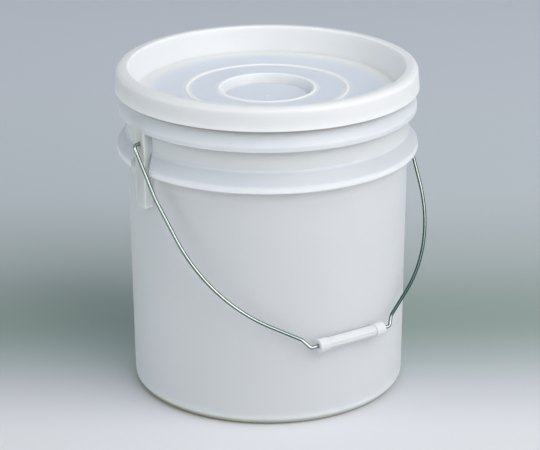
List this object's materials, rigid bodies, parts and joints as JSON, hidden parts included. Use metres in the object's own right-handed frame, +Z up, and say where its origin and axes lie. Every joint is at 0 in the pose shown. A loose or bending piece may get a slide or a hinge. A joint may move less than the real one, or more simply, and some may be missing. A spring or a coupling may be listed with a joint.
{
  "type": "lidded plastic storage pail",
  "caption": "Round plastic pail with a press-on dished lid, two skirts round the neck, and a wire bail with a plastic grip.",
  "frame": {"origin": "centre of the round foot, on the surface that the pail stands on", "axes": "+Z up along the pail's axis; X along the bail's pivot axis from ear to ear; the bail hangs down on the -Y side"},
  "size_m": [0.3208, 0.3098, 0.339],
  "materials": {
    "natural_plastic": "milky natural polyethylene, slightly translucent, satin",
    "white_plastic": "white polyethylene, satin to gloss, lightly scuffed",
    "seal_rubber": "pale soft foam rubber",
    "galvanised_wire": "galvanised drawn steel wire, dull",
    "grip_plastic": "white moulded polyethylene with shallow flutes"
  },
  "bodies": {
    "pail": {"pail_body": "natural_plastic"},
    "lid": {"lid": "white_plastic", "lid_gasket": "seal_rubber"},
    "bail": {"bail": "galvanised_wire"},
    "grip": {"grip": "grip_plastic"}
  },
  "joints": [
    {"name": "bail_swing", "type": "hinge", "parent": "pail", "child": "bail", "pos_m": [0, 0, 0.2813], "axis": [-1, 0, 0], "range_deg": [0, 284]},
    {"name": "grip_spin", "type": "hinge", "parent": "bail", "child": "grip", "pos_m": [0, -0.14803, 0.08947], "axis": [1, 0, 0], "continuous": true},
    {"name": "lid_lift", "type": "slide", "parent": "pail", "child": "lid", "axis": [0, 0, 1], "range_m": [0, 0.045]}
  ]
}
